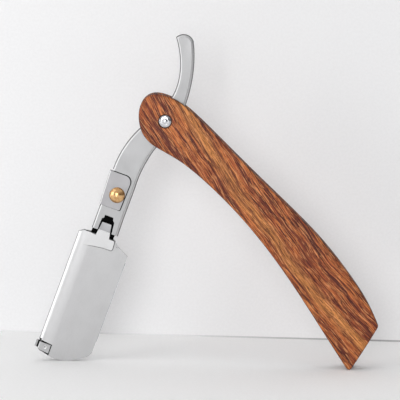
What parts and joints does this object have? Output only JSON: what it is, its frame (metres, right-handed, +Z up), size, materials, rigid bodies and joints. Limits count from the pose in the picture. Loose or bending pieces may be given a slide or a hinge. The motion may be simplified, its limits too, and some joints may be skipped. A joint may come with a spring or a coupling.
{
  "type": "straight razor",
  "caption": "Folding straight razor with a wooden two-scale handle and a steel arm whose swing-open sheet-metal holder takes half a safety blade.",
  "frame": {"origin": "on the floor, under the centre of the bounding box, with the razor standing part open", "axes": "+X from the toe's side to the tail's side, +Y from the front face to the back, +Z up"},
  "size_m": [0.1504, 0.011, 0.1446],
  "materials": {
    "wood": "oiled, striped brown grain",
    "satin_steel": "fine bead-blasted satin",
    "polished_steel": "polished",
    "brass": "polished",
    "blade_steel": "bright, ground edge"
  },
  "bodies": {
    "handle": {"front_scale": "wood", "rear_scale": "wood", "tail_wedge": "wood", "pivot_pin": "polished_steel", "front_collar": "polished_steel", "rear_collar": "polished_steel", "front_washer": "brass", "rear_washer": "brass"},
    "blade_arm": {"arm": "satin_steel", "holder": "satin_steel", "arm_rivet": "brass", "rivet_washer": "polished_steel", "upper_stud": "polished_steel", "lower_stud": "polished_steel", "half_blade": "blade_steel"},
    "lock": {"lock_leaf": "satin_steel"}
  },
  "joints": [
    {"name": "pivot", "type": "hinge", "parent": "handle", "child": "blade_arm", "pos_m": [-0.02003, 0, 0.10708], "axis": [0, 1, 0], "range_deg": [-61.3, 208.7]},
    {"name": "lock_swing", "type": "hinge", "parent": "blade_arm", "child": "lock", "pos_m": [-0.04013, 0, 0.0741], "axis": [0, 1, 0], "range_deg": [0, 60]}
  ]
}
